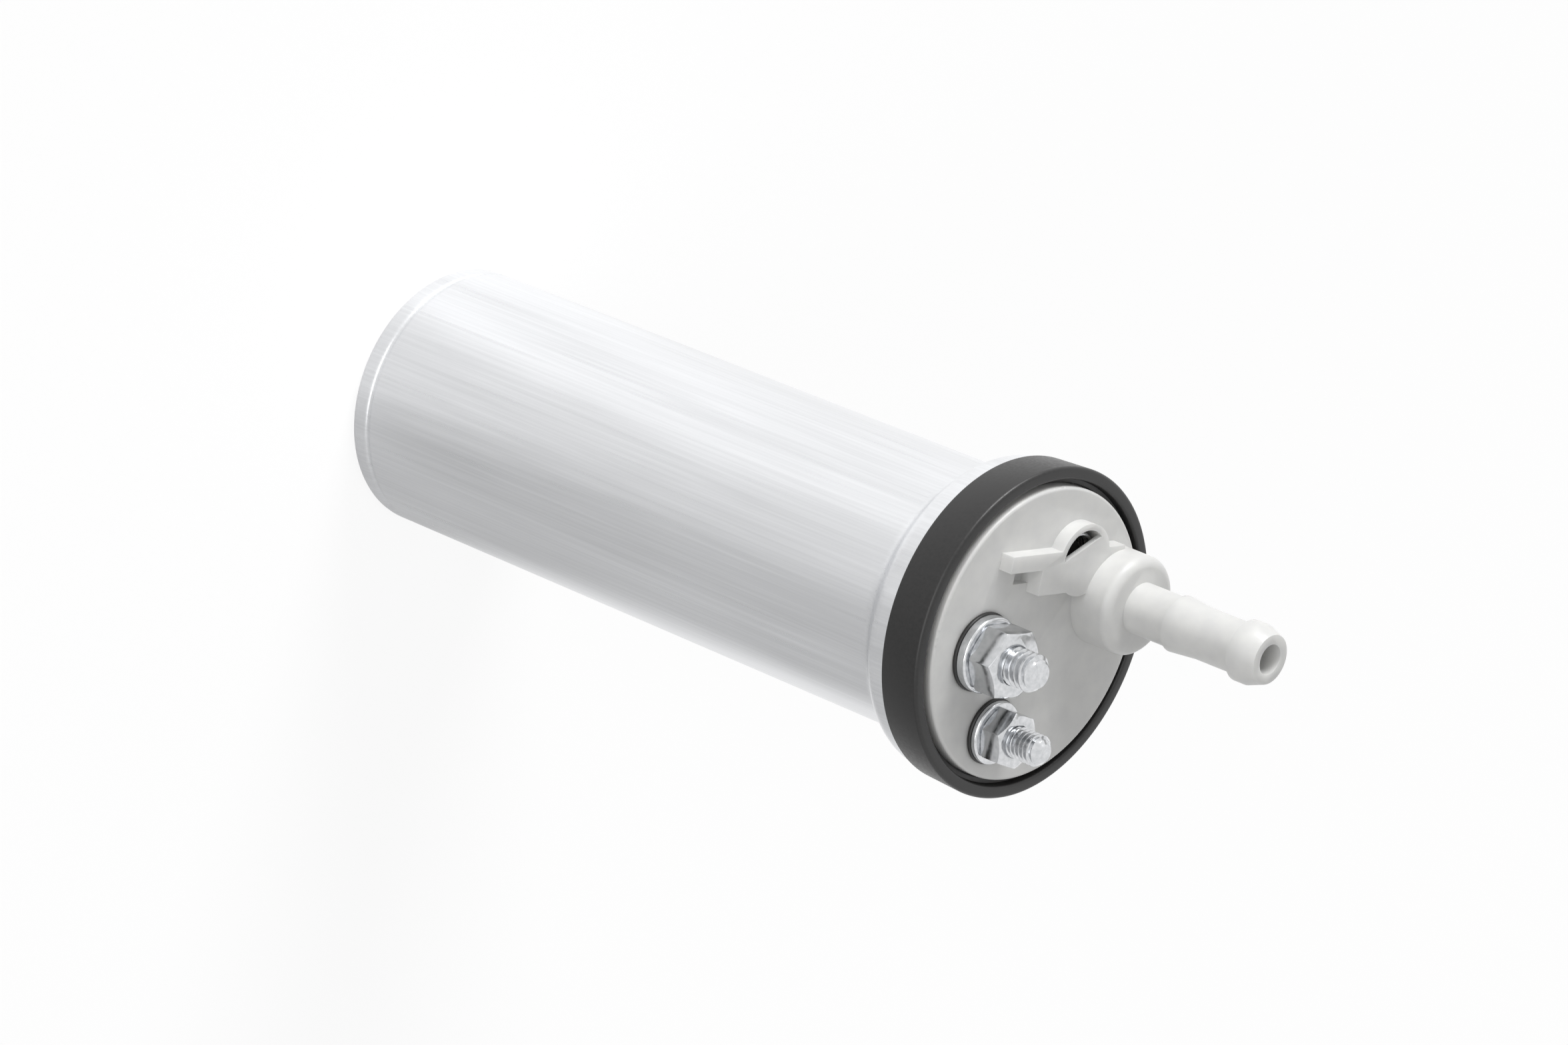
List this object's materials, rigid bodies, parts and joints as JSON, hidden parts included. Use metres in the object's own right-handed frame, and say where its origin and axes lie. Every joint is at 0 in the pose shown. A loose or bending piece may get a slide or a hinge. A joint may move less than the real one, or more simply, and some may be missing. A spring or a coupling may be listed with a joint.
{
  "type": "in-tank fuel pump",
  "caption": "Upright electric fuel pump in an aluminium can with a rubber ring, nylon outlet cap, hose barb, terminal studs and a vaned impeller on a motor.",
  "frame": {"origin": "centre of the inlet rim, on the surface that the pump stands on", "axes": "+Z along the pump from the inlet to the outlet; the hose barb stands towards +X and +Y"},
  "size_m": [0.0524, 0.0524, 0.1619],
  "materials": {
    "can_aluminium": "satin rolled",
    "black_rubber": "satin moulded",
    "natural_nylon": "natural moulded",
    "zinc_steel": "zinc plated",
    "spring_steel": "drawn wire",
    "ground_steel": "ground",
    "lamination_steel": "pressed sheet",
    "brass": "turned",
    "bronze": "sintered",
    "copper": "turned",
    "enamelled_copper": "enamelled wire",
    "black_plastic": "moulded",
    "brown_plastic": "moulded phenolic",
    "insulating_card": "pressed card",
    "carbon": "pressed carbon",
    "ferrite": "ground ferrite",
    "cast_aluminium": "die cast"
  },
  "bodies": {
    "pump_body": {"housing_tube": "can_aluminium", "rubber_ring": "black_rubber", "end_cap": "natural_nylon", "cap_seal": "black_rubber", "positive_stud": "zinc_steel", "negative_stud": "zinc_steel", "positive_nut": "zinc_steel", "negative_nut": "zinc_steel", "positive_washer": "zinc_steel", "negative_washer": "zinc_steel", "positive_seal": "black_rubber", "negative_seal": "black_rubber", "relief_spring": "spring_steel", "relief_seat": "brass", "check_spring": "spring_steel", "check_seat": "brass", "brush_holder": "black_plastic", "brush_spring_positive": "spring_steel", "brush_spring_negative": "spring_steel", "upper_bearing": "bronze", "lower_bearing": "bronze", "magnet_left": "ferrite", "magnet_right": "ferrite", "magnet_clips": "spring_steel", "flux_ring": "lamination_steel", "pump_base": "cast_aluminium", "inlet_cover": "cast_aluminium", "thrust_button": "ground_steel"},
    "rotor": {"rotor_shaft": "ground_steel", "armature_core": "lamination_steel", "armature_insulators": "insulating_card", "armature_windings": "enamelled_copper", "commutator_bars": "copper", "commutator_hub": "black_plastic", "impeller": "brown_plastic"},
    "relief_valve": {"relief_plunger": "black_plastic"},
    "check_valve": {"check_plunger": "black_plastic"},
    "positive_brush": {"brush_positive": "carbon"},
    "negative_brush": {"brush_negative": "carbon"}
  },
  "joints": [
    {"name": "rotor_spin", "type": "hinge", "parent": "pump_body", "child": "rotor", "pos_m": [0, 0, 0.06], "axis": [0, 0, 1], "continuous": true},
    {"name": "relief_valve_lift", "type": "slide", "parent": "pump_body", "child": "relief_valve", "axis": [0, 0, 1], "range_m": [0, 0.002], "stiffness_N_per_m": 500, "deforming": ["relief_spring"]},
    {"name": "check_valve_lift", "type": "slide", "parent": "pump_body", "child": "check_valve", "axis": [0, 0, 1], "range_m": [0, 0.0015], "stiffness_N_per_m": 100, "deforming": ["check_spring"]},
    {"name": "positive_brush_slide", "type": "slide", "parent": "pump_body", "child": "positive_brush", "axis": [0, 0, 1], "range_m": [0, 0.003], "stiffness_N_per_m": 100, "deforming": ["brush_spring_positive"]},
    {"name": "negative_brush_slide", "type": "slide", "parent": "pump_body", "child": "negative_brush", "axis": [0, 0, 1], "range_m": [0, 0.003], "stiffness_N_per_m": 100, "deforming": ["brush_spring_negative"]}
  ]
}
